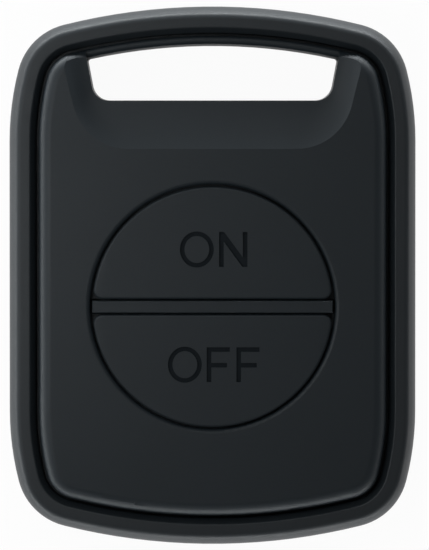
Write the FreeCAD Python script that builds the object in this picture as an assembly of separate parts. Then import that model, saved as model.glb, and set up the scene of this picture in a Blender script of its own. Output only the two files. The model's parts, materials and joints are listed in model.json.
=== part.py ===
import FreeCAD, Part
import math
import os

# A pocket remote for a house alarm: a bowed oval case with a loop slot and two half-moon keys.
# Millimetres. The remote lies on its back: Z = 0 is the rear face, +Z points out of the keys,
# +Y points to the end with the slot, and the origin is under the middle of the case.

V = FreeCAD.Vector
UP = V(0, 0, 1)

# Outline of the case, seen from the front
CASE_WIDTH = 40.0
CASE_LENGTH = 53.0
END_RADIUS = 60.5
CORNER_RADIUS = 6.15
SHOULDER_RADIUS = 28.0
STRAIGHT_LENGTH = 26.6

# Outer frame: its side is rounded in to a flat land, front and back
FRAME_WIDTH = 2.6
SIDE_ROUND = 3.0
SIDE_SET_IN = 0.88
LAND_EDGE_ROUND = 0.7
INNER_WALL_DEPTH = 1.1
FRONT_WALL_LEAN = 26.0
FRONT_INNER_ROUND = 0.2
BACK_INNER_ROUND = 0.5
FRAME_BACK_DROP = 0.5
RIB_REACH = 0.7
RIB_THICKNESS = 1.0

# Covers: the front one is a raised panel on a flange, the rear one a tray
FIT_GAP = 0.1
GROOVE_WIDTH = 0.3
PANEL_RISE = 0.8
PANEL_ROUND = 1.3
PANEL_WALL = 1.3
FLANGE_THICKNESS = 1.0
REAR_WALL = 1.2
REAR_EDGE_ROUND = 0.8

# Slot for a key loop, and the scoop in the panel that leads down to it
SLOT_BAR_WIDTH = 3.88
SLOT_HEIGHT = 5.4
SLOT_FLOOR_WIDTH = 23.16
SLOT_LEAN = 10.7
SLOT_CORNER = 1.7
SLOT_TOP_CORNER = 0.3
SLOT_COLLAR = 1.2
SLOT_BAR_RISE = 1.2
SLOT_BAR_LEAN = 12.0
SLOT_BAR_ROUND = 0.42
SLOT_BAR_OUTER_ROUND = 0.33
SLOT_REAR_BEVEL = 0.5
SCOOP_RUN = 4.72
SCOOP_FLOOR_WIDTH = 25.16
SCOOP_LEAN = 14.2
SCOOP_CORNER = 5.6
SCOOP_DEPTH = 0.85
SCOOP_DISH = 0.3
SCOOP_END_ROUND = 1.1

# Keys, the round well they stand in and the bar between them
KEY_CENTRE_Y = -3.0
KEY_RADIUS = 11.83
KEY_GAP = 0.2
BAR_GAP = 0.14
KEY_TRAVEL = 0.35
KEY_CORNER = 0.9
KEY_EDGE_ROUND = 0.25
KEY_CAP = 1.1
KEY_SKIRT = 1.0
KEY_FLANGE_REACH = 1.2
KEY_FLANGE_THICKNESS = 0.6
KEY_PLAY = 0.1
KEY_END_CLEARANCE = 0.15
WELL_ROUND = 0.45
BAR_HEIGHT = 1.22
BAR_LENGTH = 23.62
BAR_EDGE_BEVEL = 0.1
NOTCH_GAP = 0.22
NOTCH_SIDE_GAP = 0.09
NOTCH_BEVEL = 0.2
WELL_COLLAR = 1.0
MOVING_GAP = 0.3
GUIDE_THICKNESS = 0.6
GUIDE_FOOT_HEIGHT = 0.6
GUIDE_FOOT_RADIUS = 0.8
GUIDE_FOOT_INSET = 1.4
GUIDE_FOOT_ANGLES = (45, 135, 225, 315)
STEM_RADIUS = 1.5
KEY_RIB = 0.8
KEY_RIB_DROP = 0.55

# Round door over the cell, held by a quarter-turn catch
DOOR_CENTRE_Y = -4.0
DOOR_RECESS = 0.1
DOOR_FLOOR = 0.65
DOOR_FLANGE_REACH = 0.95
DOOR_RIM_GAP = 0.15
DOOR_BORE_RADIUS = 11.6
HUB_GAP = 0.4
HUB_WALL = 0.85
LUG_THICKNESS = 0.7
LUG_REACH = 0.95
LUG_ANGLE = 24.0
LUG_COUNT = 3
LUG_PLAY = 0.1
LUG_SIDE_ANGLE = 3.0
LUG_END_GAP = 0.2
DOOR_TURN = 40.0
DOOR_COLLAR_WALL = 2.0
DOOR_COLLAR_HEIGHT = 1.8
SEAL_SECTION = 0.65
SEAL_SQUEEZE_GAP = 0.05
SEAL_SIDE_GAP = 0.025
PAD_RADIUS = 7.0
PAD_WIDTH = 1.0
COIN_SLOT_LENGTH = 14.0
COIN_SLOT_WIDTH = 2.0
COIN_SLOT_DEPTH = 0.7
COIN_SLOT_CORNER = 0.9
COIN_SLOT_WALL = 1.0

# Cell, board and what is soldered to it
CELL_RADIUS = 10.0
CELL_THICKNESS = 3.2
CELL_CAP_RADIUS = 8.9
CELL_CAP_RISE = 0.25
CELL_EDGE_ROUND = 0.3
CELL_SEAT_HEIGHT = 0.75
CELL_TOUCH_GAP = 0.05
CONTACT_SPACE = 0.8
CONTACT_SHEET = 0.2
CONTACT_WIDTH = 4.0
CONTACT_SPAN = 10.0
CONTACT_PAD = 1.6
CRADLE_GAP = 0.4
CRADLE_WALL = 1.0
CRADLE_CLEARANCE = 0.3
BOARD_THICKNESS = 0.8
BOARD_GAP = 0.3
BOARD_SEAT_GAP = 0.3
POST_RADIUS = 1.1
SWITCH_WIDTH = 4.5
SWITCH_HEIGHT = 1.5
SWITCH_OFFSET = 5.7
SWITCH_FLOOR = 0.3
SWITCH_ROOF = 0.35
SWITCH_CAVITY_RADIUS = 1.9
PLUNGER_RADIUS = 1.05
PLUNGER_HOLE_GAP = 0.15
PLUNGER_FLANGE = 0.35
DOME_RISE = 0.4
DOME_SHEET = 0.08
CHIP_WIDTH = 5.0
CHIP_HEIGHT = 0.85
CRYSTAL_LENGTH = 3.2
CRYSTAL_WIDTH = 2.5
CRYSTAL_HEIGHT = 0.8
SMALL_PART_LENGTH = 1.0
SMALL_PART_WIDTH = 0.5
CAPACITOR_HEIGHT = 0.5
RESISTOR_HEIGHT = 0.35
SMALL_PART_PITCH = 2.0
CAPACITOR_COUNT = 4
RESISTOR_COUNT = 3
ANTENNA_WIRE_RADIUS = 0.25
ANTENNA_HEIGHT = 0.9
ANTENNA_BEND = 0.5

# Screws, driven from the back into bosses under the panel, the lower two in the case's corners
SCREW_TO_SLOT = 6.3
SCREW_RADIUS = 1.0
SCREW_BITE = 2.8
SCREW_TIP_GAP = 0.3
SCREW_HEAD_RADIUS = 1.9
SCREW_HEAD_HEIGHT = 1.3
SCREW_HEAD_SINK = 0.35
SCREW_HEAD_ROUND = 0.35
SCREW_RECESS_WIDTH = 0.35
SCREW_RECESS_DEPTH = 0.7
SCREW_BOSS_WALL = 1.0
SCREW_HOLE_GAP = 0.15
SCREW_HEAD_GAP = 0.2
SLEEVE_WALL = 0.7
BOSS_SEAT_GAP = 0.15
THREAD_GAP = 0.02

# Heights, stacked from the rear face to the panel
CELL_BOTTOM = DOOR_RECESS + DOOR_FLOOR + CELL_SEAT_HEIGHT
CELL_TOP = CELL_BOTTOM + CELL_THICKNESS
BOARD_BOTTOM = CELL_TOP + CONTACT_SPACE
BOARD_TOP = BOARD_BOTTOM + BOARD_THICKNESS
SWITCH_TOP = BOARD_TOP + SWITCH_HEIGHT
PLUNGER_TOP = SWITCH_TOP + KEY_TRAVEL
GUIDE_BOTTOM = BOARD_TOP + GUIDE_FOOT_HEIGHT
GUIDE_TOP = GUIDE_BOTTOM + GUIDE_THICKNESS
KEY_BOTTOM = GUIDE_TOP + KEY_TRAVEL + KEY_END_CLEARANCE
PANEL_INNER = KEY_BOTTOM + KEY_FLANGE_THICKNESS + KEY_PLAY
PANEL_TOP = PANEL_INNER + PANEL_WALL
FRAME_TOP = PANEL_TOP - PANEL_RISE
RIB_BOTTOM = BOARD_BOTTOM - BOARD_SEAT_GAP
RIB_TOP = RIB_BOTTOM + RIB_THICKNESS
FLANGE_TOP = RIB_TOP + FLANGE_THICKNESS
DOOR_INSIDE = DOOR_RECESS + DOOR_FLOOR
LUG_BOTTOM = DOOR_COLLAR_HEIGHT + LUG_PLAY
HUB_TOP = LUG_BOTTOM + LUG_THICKNESS

# Depths in from the outline
COVER_EDGE = FRAME_WIDTH + FIT_GAP
PANEL_EDGE = FRAME_WIDTH + GROOVE_WIDTH
RIM_EDGE = FRAME_WIDTH + RIB_REACH + FIT_GAP
PANEL_HOLLOW = PANEL_EDGE + PANEL_WALL
BOARD_EDGE = PANEL_HOLLOW + BOARD_GAP

# Places worked out from the sizes
HALF_WIDTH = CASE_WIDTH / 2
HALF_LENGTH = CASE_LENGTH / 2
END_CENTRE = V(0, HALF_LENGTH - END_RADIUS, 0)
KEY_CENTRE = V(0, KEY_CENTRE_Y, 0)
DOOR_CENTRE = V(0, DOOR_CENTRE_Y, 0)
BAR_SIDE = BAR_HEIGHT / 2
KEY_FLAT = BAR_SIDE + BAR_GAP
WELL_RADIUS = KEY_RADIUS + KEY_GAP
KEY_FLANGE_RADIUS = KEY_RADIUS + KEY_FLANGE_REACH
COLLAR_RADIUS = KEY_FLANGE_RADIUS + MOVING_GAP
GUIDE_RADIUS = COLLAR_RADIUS + WELL_COLLAR
HUB_RADIUS = DOOR_BORE_RADIUS - HUB_GAP
HUB_INNER_RADIUS = HUB_RADIUS - HUB_WALL
DOOR_RADIUS = DOOR_BORE_RADIUS + DOOR_FLANGE_REACH - DOOR_RIM_GAP
COUNTERBORE_RADIUS = DOOR_BORE_RADIUS + DOOR_FLANGE_REACH
SCREW_END = RIB_BOTTOM + SCREW_BITE
SLOT_FLOOR_Y = HALF_LENGTH - SLOT_BAR_WIDTH - SLOT_HEIGHT
SCOOP_FLOOR_Y = SLOT_FLOOR_Y - SCOOP_RUN
SCOOP_BOTTOM = PANEL_TOP - SCOOP_DEPTH
SLOT_BAR_TOP = FLANGE_TOP + SLOT_BAR_RISE
BOARD_UPPER_Y = SLOT_FLOOR_Y - SLOT_COLLAR - 2 * BOARD_GAP
BOSS_RADIUS = SCREW_RADIUS + SCREW_BOSS_WALL
SLEEVE_RADIUS = SCREW_HEAD_RADIUS + SCREW_HEAD_GAP + SLEEVE_WALL
PARTS_FOLDER = "parts"


# Shapes used by several pieces

def polar(centre, radius, angle):
    """The point at an angle in radians on a level circle."""
    return centre + V(radius * math.cos(angle), radius * math.sin(angle), 0)


def disc(centre, radius, bottom, top):
    """A round bar between two heights."""
    return Part.makeCylinder(radius, top - bottom, V(centre.x, centre.y, bottom), UP)


def tube(centre, outer, inner, bottom, top):
    """A round ring between two heights."""
    return disc(centre, outer, bottom, top).cut(disc(centre, inner, bottom, top))


def block(centre, length, width, bottom, top):
    """A rectangular bar, length along X and width along Y, between two heights."""
    corner = V(centre.x - length / 2, centre.y - width / 2, bottom)
    return Part.makeBox(length, width, top - bottom, corner)


def sector(centre, inner, outer, bottom, top, middle, width):
    """Part of a ring: middle and width are angles in degrees."""
    points = [V(inner, 0, bottom), V(outer, 0, bottom), V(outer, 0, top), V(inner, 0, top)]
    face = Part.Face(Part.makePolygon(points + points[:1]))
    face.rotate(V(0, 0, 0), UP, middle - width / 2)
    face.translate(centre)
    return face.revolve(centre, UP, width)


def joined(shapes):
    """One solid from pieces that overlap or share a face."""
    return shapes[0].multiFuse(shapes[1:]).removeSplitter()


def level_edges(shape, height):
    """The edges that lie flat at one height."""
    return [
        edge for edge in shape.Edges
        if abs(edge.BoundBox.ZMin - height) < 1e-6 and abs(edge.BoundBox.ZMax - height) < 1e-6
    ]


def upright_edges(shape):
    """The straight edges that run along Z."""
    return [
        edge for edge in shape.Edges
        if edge.BoundBox.XLength < 1e-6 and edge.BoundBox.YLength < 1e-6
    ]


# The case outline: twelve tangent runs, the same turned half round

def corner_centre(shoulder):
    """Where the corner arc is centred, so that it touches the end arc and the shoulder arc."""
    reach_end = END_RADIUS - CORNER_RADIUS
    reach_shoulder = SHOULDER_RADIUS - CORNER_RADIUS
    across = shoulder - END_CENTRE
    span = across.Length
    along = (reach_end ** 2 - reach_shoulder ** 2 + span ** 2) / (2 * span)
    aside = math.sqrt(reach_end ** 2 - along ** 2)
    direction = across / span
    return END_CENTRE + direction * along + V(-direction.y, direction.x, 0) * -aside


def upper_arcs():
    """Arcs of the end with the slot, anticlockwise: centre, radius, start and end angle."""
    shoulder = V(HALF_WIDTH - SHOULDER_RADIUS, STRAIGHT_LENGTH / 2, 0)
    corner = corner_centre(shoulder)
    to_corner = corner - shoulder
    to_end = corner - END_CENTRE
    first = math.atan2(to_corner.y, to_corner.x)
    second = math.atan2(to_end.y, to_end.x)
    left_corner = V(-corner.x, corner.y, 0)
    left_shoulder = V(-shoulder.x, shoulder.y, 0)
    return [
        (shoulder, SHOULDER_RADIUS, 0, first),
        (corner, CORNER_RADIUS, first, second),
        (END_CENTRE, END_RADIUS, second, math.pi - second),
        (left_corner, CORNER_RADIUS, math.pi - second, math.pi - first),
        (left_shoulder, SHOULDER_RADIUS, math.pi - first, math.pi),
    ]


def lower_arcs():
    """The upper arcs turned half round."""
    return [(centre * -1, radius, a + math.pi, b + math.pi) for centre, radius, a, b in upper_arcs()]


def outline_wire(depth, height):
    """The case outline, offset inward by depth, at one height."""
    edges = []
    for arcs in (upper_arcs(), lower_arcs()):
        for centre, radius, start, end in arcs:
            lifted = centre + V(0, 0, height)
            edges.append(Part.Arc(Part.Circle(lifted, UP, radius - depth), start, end).toShape())
    side = HALF_WIDTH - depth
    reach = STRAIGHT_LENGTH / 2
    edges.append(Part.makeLine(V(-side, reach, height), V(-side, -reach, height)))
    edges.append(Part.makeLine(V(side, -reach, height), V(side, reach, height)))
    return Part.Wire(Part.__sortEdges__(edges))


def slab(depth, bottom, top):
    """A plate with the case outline, offset inward by depth, between two heights."""
    return Part.Face(outline_wire(depth, bottom)).extrude(V(0, 0, top - bottom))


def around_case(section):
    """A closed section carried round the outline. Its X is 0 on the outline and falls inward."""
    runs = []
    for centre, radius, start, end in upper_arcs() + lower_arcs():
        face = section.copy()
        face.translate(V(radius, 0, 0))
        face.rotate(V(0, 0, 0), UP, math.degrees(start))
        face.translate(centre)
        runs.append(face.revolve(centre, UP, math.degrees(end - start)))
    for side in (1, -1):
        face = section.copy()
        face.translate(V(HALF_WIDTH, -STRAIGHT_LENGTH / 2, 0))
        face.rotate(V(0, 0, 0), UP, 90 - 90 * side)
        runs.append(face.extrude(V(0, side * STRAIGHT_LENGTH, 0)))
    return joined(runs)


# The slot's outline, also used for the scoop: a flat floor, leaning sides and an arc at the top

def pocket_wire(floor_y, floor_width, lean, corner, top_corner, top_radius, height, grow=0.0):
    """A pocket outline, grown outward on all sides by grow, at one height."""
    lean = math.radians(lean)
    outward = V(math.cos(lean), -math.sin(lean), 0)
    along = V(math.sin(lean), math.cos(lean), 0)
    corner = corner + grow
    top_corner = top_corner + grow
    top_radius = top_radius + grow
    foot = V(floor_width / 2, floor_y, 0) + outward * grow
    foot = foot - along * ((foot.y - (floor_y - grow)) / along.y)
    low = V(foot.x - corner * (1 - math.sin(lean)) / math.cos(lean), foot.y + corner, 0)
    base = foot - outward * top_corner - END_CENTRE
    half = base.dot(along)
    run = -half + math.sqrt(half ** 2 - base.dot(base) + (top_radius - top_corner) ** 2)
    high = foot - outward * top_corner + along * run
    crest = END_CENTRE + (high - END_CENTRE).normalize() * top_radius
    ease = (outward - V(0, 1, 0)).normalize()
    turn = (outward + (high - END_CENTRE).normalize()).normalize()
    right = [
        V(low.x, foot.y, 0), low + ease * corner, low + outward * corner,
        high + outward * top_corner, high + turn * top_corner, crest,
    ]
    right = [point + V(0, 0, height) for point in right]
    left = [V(-point.x, point.y, height) for point in right]
    top = END_CENTRE + V(0, top_radius, height)
    edges = [
        Part.makeLine(left[0], right[0]),
        Part.Arc(right[0], right[1], right[2]).toShape(),
        Part.makeLine(right[2], right[3]),
        Part.Arc(right[3], right[4], right[5]).toShape(),
        Part.Arc(right[5], top, left[5]).toShape(),
        Part.Arc(left[5], left[4], left[3]).toShape(),
        Part.makeLine(left[3], left[2]),
        Part.Arc(left[2], left[1], left[0]).toShape(),
    ]
    return Part.Wire(edges)


def slot_wire(height, grow=0.0, top_radius=END_RADIUS - SLOT_BAR_WIDTH):
    """The slot's outline at one height."""
    return pocket_wire(
        SLOT_FLOOR_Y, SLOT_FLOOR_WIDTH, SLOT_LEAN, SLOT_CORNER, SLOT_TOP_CORNER,
        top_radius, height, grow,
    )


def scoop_wire(share, height, grow=0.0):
    """The scoop's outline, from the slot at share 0 to its rim at 1. It runs out past the panel's end."""
    def between(slot, rim):
        return slot + (rim - slot) * share

    return pocket_wire(
        between(SLOT_FLOOR_Y, SCOOP_FLOOR_Y), between(SLOT_FLOOR_WIDTH, SCOOP_FLOOR_WIDTH),
        between(SLOT_LEAN, SCOOP_LEAN), between(SLOT_CORNER, SCOOP_CORNER),
        SLOT_TOP_CORNER, END_RADIUS, height, grow,
    )


def slot_bar(bottom, top, grow=0.0):
    """A bar with the slot's outline."""
    return Part.Face(slot_wire(bottom, grow)).extrude(V(0, 0, top - bottom))


# Case

def outer_frame():
    """The ring round the case: rounded sides, a land front and back, and a rib that the covers clamp."""
    round_rise = math.sqrt(SIDE_ROUND ** 2 - (SIDE_ROUND - SIDE_SET_IN) ** 2)
    round_centre = V(-SIDE_ROUND, 0, FRAME_TOP - round_rise)
    turn = math.asin((round_rise - LAND_EDGE_ROUND) / (SIDE_ROUND - LAND_EDGE_ROUND))
    edge_reach = (SIDE_ROUND - LAND_EDGE_ROUND) * math.cos(turn)
    edge_centre = V(-SIDE_ROUND + edge_reach, 0, FRAME_TOP - LAND_EDGE_ROUND)
    middle = (FRAME_TOP + FRAME_BACK_DROP) / 2

    def arc(centre, radius, start, end):
        angles = (start, (start + end) / 2, end)
        points = [centre + V(radius * math.cos(a), 0, radius * math.sin(a)) for a in angles]
        return Part.Arc(points[0], points[1], points[2]).toShape()

    def upper_half(wall_lean, inner_round):
        """The section above its middle, with an inner wall that leans out towards the land."""
        lean = math.radians(wall_lean)
        height = FRAME_TOP - inner_round
        foot = V(-FRAME_WIDTH, 0, FRAME_TOP - INNER_WALL_DEPTH)
        reach = (height - foot.z) * math.tan(lean) + inner_round / math.cos(lean)
        inner_centre = V(foot.x + reach, 0, height)
        round_end = inner_centre + V(-math.cos(lean), 0, math.sin(lean)) * inner_round
        return [
            Part.makeLine(V(0, 0, middle), V(0, 0, round_centre.z)),
            arc(round_centre, SIDE_ROUND, 0, turn),
            arc(edge_centre, LAND_EDGE_ROUND, turn, math.pi / 2),
            Part.makeLine(V(edge_centre.x, 0, FRAME_TOP), V(inner_centre.x, 0, FRAME_TOP)),
            arc(inner_centre, inner_round, math.pi / 2, math.pi - lean),
            Part.makeLine(round_end, foot),
            Part.makeLine(foot, V(-FRAME_WIDTH, 0, middle)),
        ]

    front = upper_half(FRONT_WALL_LEAN, FRONT_INNER_ROUND)
    back = [edge.mirror(V(0, 0, middle), UP) for edge in upper_half(0, BACK_INNER_ROUND)]
    section = Part.Face(Part.Wire(Part.__sortEdges__(front + back)))
    rib = slab(FRAME_WIDTH / 2, RIB_BOTTOM, RIB_TOP).cut(
        slab(FRAME_WIDTH + RIB_REACH, RIB_BOTTOM, RIB_TOP))
    return joined([around_case(section), rib])


def screw_places():
    """The four screws' axes: the corner arcs' centres at the lower end, and in line above them."""
    corner = upper_arcs()[1][0]
    upper = SLOT_FLOOR_Y - SCREW_TO_SLOT
    return [V(side * corner.x, y, 0) for side in (-1, 1) for y in (upper, -corner.y)]


def screw_bosses(radius, bottom, top):
    """Four round bars on the screws' axes, as one shape."""
    return joined([disc(place, radius, bottom, top) for place in screw_places()])


def well_cutter():
    """The round hole for the keys, eased at its mouth, with a notch for each end of the bar."""
    hole = disc(KEY_CENTRE, WELL_RADIUS, PANEL_INNER, PANEL_TOP)
    reach = WELL_RADIUS + WELL_ROUND
    low = PANEL_TOP - WELL_ROUND
    round_edge = Part.makeTorus(reach, WELL_ROUND, KEY_CENTRE + V(0, 0, low), UP)
    ease = tube(KEY_CENTRE, reach, WELL_RADIUS - WELL_ROUND, low, PANEL_TOP).cut(round_edge)
    length = BAR_LENGTH + 2 * NOTCH_GAP
    width = BAR_HEIGHT + 2 * NOTCH_SIDE_GAP
    notch = block(KEY_CENTRE, length, width, PANEL_INNER, PANEL_TOP)
    mouth = Part.makeLoft([
        rectangle_wire(KEY_CENTRE, length, width, PANEL_TOP - NOTCH_BEVEL),
        rectangle_wire(KEY_CENTRE, length + 2 * NOTCH_BEVEL, width + 2 * NOTCH_BEVEL, PANEL_TOP),
    ], True, True)
    return joined([hole, ease, notch, mouth])


def rectangle_wire(centre, length, width, height):
    """A level rectangle round a centre."""
    x = length / 2
    y = width / 2
    points = [
        V(centre.x - x, centre.y - y, height), V(centre.x + x, centre.y - y, height),
        V(centre.x + x, centre.y + y, height), V(centre.x - x, centre.y + y, height),
    ]
    return Part.makePolygon(points + points[:1])


def loop_way(bottom, top):
    """The slot's outline run out past the panel's end, as a solid between two heights."""
    return Part.Face(scoop_wire(0, bottom)).extrude(V(0, 0, top - bottom))


def bar_cutter():
    """What shapes the bar across the slot's end: rounded on top, leaning on the slot's side."""
    lean = math.radians(SLOT_BAR_LEAN)
    leaning = V(-math.cos(lean), 0, math.sin(lean))
    height = SLOT_BAR_TOP - SLOT_BAR_ROUND
    reach = (height - FLANGE_TOP) * math.tan(lean) + SLOT_BAR_ROUND / math.cos(lean)
    foot = V(END_RADIUS - SLOT_BAR_WIDTH, 0, FLANGE_TOP)
    centre = V(foot.x + reach, 0, height)
    slot_side = [
        foot,
        centre + leaning * SLOT_BAR_ROUND,
        centre + (leaning + UP).normalize() * SLOT_BAR_ROUND,
        centre + UP * SLOT_BAR_ROUND,
        V(foot.x - SLOT_BAR_ROUND, 0, SLOT_BAR_TOP),
        V(foot.x - SLOT_BAR_ROUND, 0, FLANGE_TOP),
    ]
    across = V(1, 0, 0)
    centre = V(END_RADIUS - PANEL_EDGE - SLOT_BAR_OUTER_ROUND, 0, SLOT_BAR_TOP - SLOT_BAR_OUTER_ROUND)
    low = centre + across * SLOT_BAR_OUTER_ROUND
    frame_side = [
        low + across * GROOVE_WIDTH,
        low,
        centre + (across + UP).normalize() * SLOT_BAR_OUTER_ROUND,
        centre + UP * SLOT_BAR_OUTER_ROUND,
        low + across * GROOVE_WIDTH + UP * SLOT_BAR_OUTER_ROUND,
    ]
    rings = []
    for points in (slot_side, frame_side):
        outline = Part.makePolygon(points[3:] + points[:2]).Edges
        section = Part.Face(Part.Wire([Part.Arc(*points[1:4]).toShape()] + outline))
        section.translate(END_CENTRE)
        rings.append(section.revolve(END_CENTRE, UP, 360))
    return Part.makeCompound(rings).common(loop_way(FLANGE_TOP, SLOT_BAR_TOP))


def on_panel_end(edge):
    """Where a level edge, drawn on in a straight line, meets the side of the panel's bowed end."""
    start, end = (vertex.Point for vertex in edge.Vertexes)
    along = (end - start).normalize()
    base = V(start.x, start.y, 0) - END_CENTRE
    half = base.dot(along)
    radius = END_RADIUS - PANEL_EDGE
    return start + along * (math.sqrt(half ** 2 - base.dot(base) + radius ** 2) - half)


def scoop_end_cutter(side):
    """What rounds the end of one of the scoop's walls, as the panel's own edge is rounded."""
    rim = scoop_wire(1, PANEL_TOP).Edges[2]
    high = on_panel_end(rim)
    low = on_panel_end(scoop_wire(0, SCOOP_BOTTOM).Edges[2])
    run = (low - high).normalize()
    outward = V(run.y, -run.x, 0).normalize()
    wall = (rim.Vertexes[1].Point - rim.Vertexes[0].Point).cross(run).normalize()
    centre = high - (outward + wall) * (SCOOP_END_ROUND / (1 + outward.dot(wall)))
    points = [
        centre + wall * SCOOP_END_ROUND,
        centre + (outward + wall).normalize() * SCOOP_END_ROUND,
        centre + outward * SCOOP_END_ROUND,
    ]
    beyond = [points[2] + outward * SCOOP_END_ROUND, points[0] + wall * SCOOP_END_ROUND]
    beyond.insert(1, high + (outward + wall) * SCOOP_END_ROUND)
    sides = Part.makePolygon([points[2]] + beyond + [points[0]])
    section = Part.Face(Part.Wire([Part.Arc(points[0], points[1], points[2]).toShape()] + sides.Edges))
    section.translate(run * -SCOOP_END_ROUND)
    cutter = section.extrude(run * ((low - high).Length + 2 * SCOOP_END_ROUND))
    cutter = cutter.cut(loop_way(FLANGE_TOP, PANEL_TOP))
    return cutter if side > 0 else cutter.mirror(V(0, 0, 0), V(1, 0, 0))


def front_cover():
    """Raised panel with a rounded edge, hollow inside, on a flange that lies on the frame's rib."""
    panel = slab(PANEL_EDGE, RIB_TOP, PANEL_TOP)
    panel = panel.makeFillet(PANEL_ROUND, level_edges(panel, PANEL_TOP))
    panel = panel.cut([scoop_end_cutter(side) for side in (1, -1)])
    flange = slab(COVER_EDGE, RIB_TOP, FLANGE_TOP)
    rim = slab(RIM_EDGE, RIB_BOTTOM, RIB_TOP)
    shell = joined([panel, flange, rim])
    shell = shell.cut(slab(PANEL_HOLLOW, RIB_BOTTOM, PANEL_INNER))

    inside = slab(RIM_EDGE, RIB_BOTTOM, PANEL_INNER)
    collar = slot_bar(RIB_BOTTOM, PANEL_INNER, SLOT_COLLAR).common(inside)
    backing = Part.makeLoft([
        slot_wire(SCOOP_BOTTOM - PANEL_WALL, SLOT_COLLAR, END_RADIUS - RIM_EDGE),
        scoop_wire(1, PANEL_INNER, SLOT_COLLAR),
    ], True, True).common(inside)
    well_collar = tube(KEY_CENTRE, GUIDE_RADIUS, COLLAR_RADIUS, GUIDE_TOP, PANEL_INNER)
    bosses = screw_bosses(BOSS_RADIUS, RIB_BOTTOM, PANEL_INNER)
    shell = joined([shell, collar, backing, well_collar, bosses])

    slot = slot_bar(RIB_BOTTOM, PANEL_TOP)
    throat = loop_way(SLOT_BAR_TOP, PANEL_TOP)
    scoop = Part.makeLoft([
        scoop_wire(0, SCOOP_BOTTOM),
        scoop_wire(0.5, SCOOP_BOTTOM + SCOOP_DISH * SCOOP_DEPTH),
        scoop_wire(1, PANEL_TOP),
    ], True, False)
    pilots = screw_bosses(SCREW_RADIUS + THREAD_GAP, RIB_BOTTOM, SCREW_END + SCREW_TIP_GAP)
    chamber = disc(KEY_CENTRE, COLLAR_RADIUS, GUIDE_TOP, PANEL_INNER)
    cutters = [slot, throat, scoop, bar_cutter(), well_cutter(), chamber, pilots]
    return shell.cut(cutters).removeSplitter()


def rear_cover():
    """Tray with the door's opening, the slot's lower collar, screw sleeves and posts for the board.

    Each sleeve has a shoulder that carries the board and takes the end of the front cover's boss.
    """
    tray = slab(COVER_EDGE, 0, RIB_BOTTOM)
    tray = tray.makeFillet(REAR_EDGE_ROUND, level_edges(tray, 0))
    tray = tray.cut(slab(COVER_EDGE + REAR_WALL, REAR_WALL, RIB_BOTTOM))
    collar = slot_bar(REAR_EDGE_ROUND, RIB_BOTTOM, SLOT_COLLAR).common(slab(COVER_EDGE, 0, RIB_BOTTOM))
    door_collar = disc(DOOR_CENTRE, DOOR_BORE_RADIUS + DOOR_COLLAR_WALL, 0, DOOR_COLLAR_HEIGHT)
    sleeves = screw_bosses(SLEEVE_RADIUS, 0, RIB_BOTTOM)
    shoulders = screw_bosses(SLEEVE_RADIUS, RIB_BOTTOM, BOARD_BOTTOM).common(
        slab(PANEL_HOLLOW + FIT_GAP, RIB_BOTTOM, BOARD_BOTTOM))
    tray = joined([tray, collar, door_collar, sleeves, shoulders] + board_posts())

    bevel = Part.makeLoft([slot_wire(0, SLOT_REAR_BEVEL), slot_wire(SLOT_REAR_BEVEL)], True, True)
    counterbore = disc(DOOR_CENTRE, COUNTERBORE_RADIUS, 0, DOOR_INSIDE + FIT_GAP / 2)
    bore = disc(DOOR_CENTRE, DOOR_BORE_RADIUS, 0, DOOR_COLLAR_HEIGHT)
    notches = [
        sector(
            DOOR_CENTRE, DOOR_BORE_RADIUS - HUB_GAP, HUB_RADIUS + LUG_REACH + LUG_END_GAP,
            0, DOOR_COLLAR_HEIGHT, angle - DOOR_TURN, LUG_ANGLE + 2 * LUG_SIDE_ANGLE,
        )
        for angle in lug_angles()
    ]
    head_recess = screw_bosses(
        SCREW_HEAD_RADIUS + SCREW_HEAD_GAP, 0, SCREW_HEAD_SINK + SCREW_HEAD_HEIGHT)
    screw_holes = screw_bosses(SCREW_RADIUS + SCREW_HOLE_GAP, 0, RIB_BOTTOM)
    boss_seats = screw_bosses(BOSS_RADIUS + BOSS_SEAT_GAP, RIB_BOTTOM, BOARD_BOTTOM)
    cutters = [slot_bar(0, RIB_BOTTOM), bevel, counterbore, bore, head_recess, screw_holes, boss_seats]
    return tray.cut(cutters + notches).removeSplitter()


def board_posts():
    """Two posts under the ends of the board."""
    lower = HALF_LENGTH - BOARD_EDGE - POST_RADIUS - BOARD_GAP
    places = [V(0, BOARD_UPPER_Y - POST_RADIUS, 0), V(0, -lower, 0)]
    return [disc(place, POST_RADIUS, 0, BOARD_BOTTOM) for place in places]


def case_screws():
    """Four pan-head screws with a cross recess."""
    head_top = SCREW_HEAD_SINK + SCREW_HEAD_HEIGHT
    screws = []
    for place in screw_places():
        head = disc(place, SCREW_HEAD_RADIUS, SCREW_HEAD_SINK, head_top)
        head = head.makeFillet(SCREW_HEAD_ROUND, level_edges(head, SCREW_HEAD_SINK))
        shank = disc(place, SCREW_RADIUS, head_top, SCREW_END)
        shank = shank.makeChamfer(SCREW_RADIUS / 2, level_edges(shank, SCREW_END))
        length = SCREW_HEAD_RADIUS
        bottom = SCREW_HEAD_SINK + SCREW_RECESS_DEPTH
        cross = block(place, length, SCREW_RECESS_WIDTH, SCREW_HEAD_SINK, bottom).fuse(
            block(place, SCREW_RECESS_WIDTH, length, SCREW_HEAD_SINK, bottom))
        screws.append(joined([head, shank]).cut(cross))
    return Part.makeCompound(screws)


# Door over the cell

def lug_angles():
    """Where the door's lugs stand when it is shut, in degrees."""
    return [90 + 360 / LUG_COUNT * index for index in range(LUG_COUNT)]


def seal_height():
    """Height of the seal's middle, clear above the door's floor."""
    return DOOR_INSIDE + SEAL_SECTION / 2 + FIT_GAP


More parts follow.
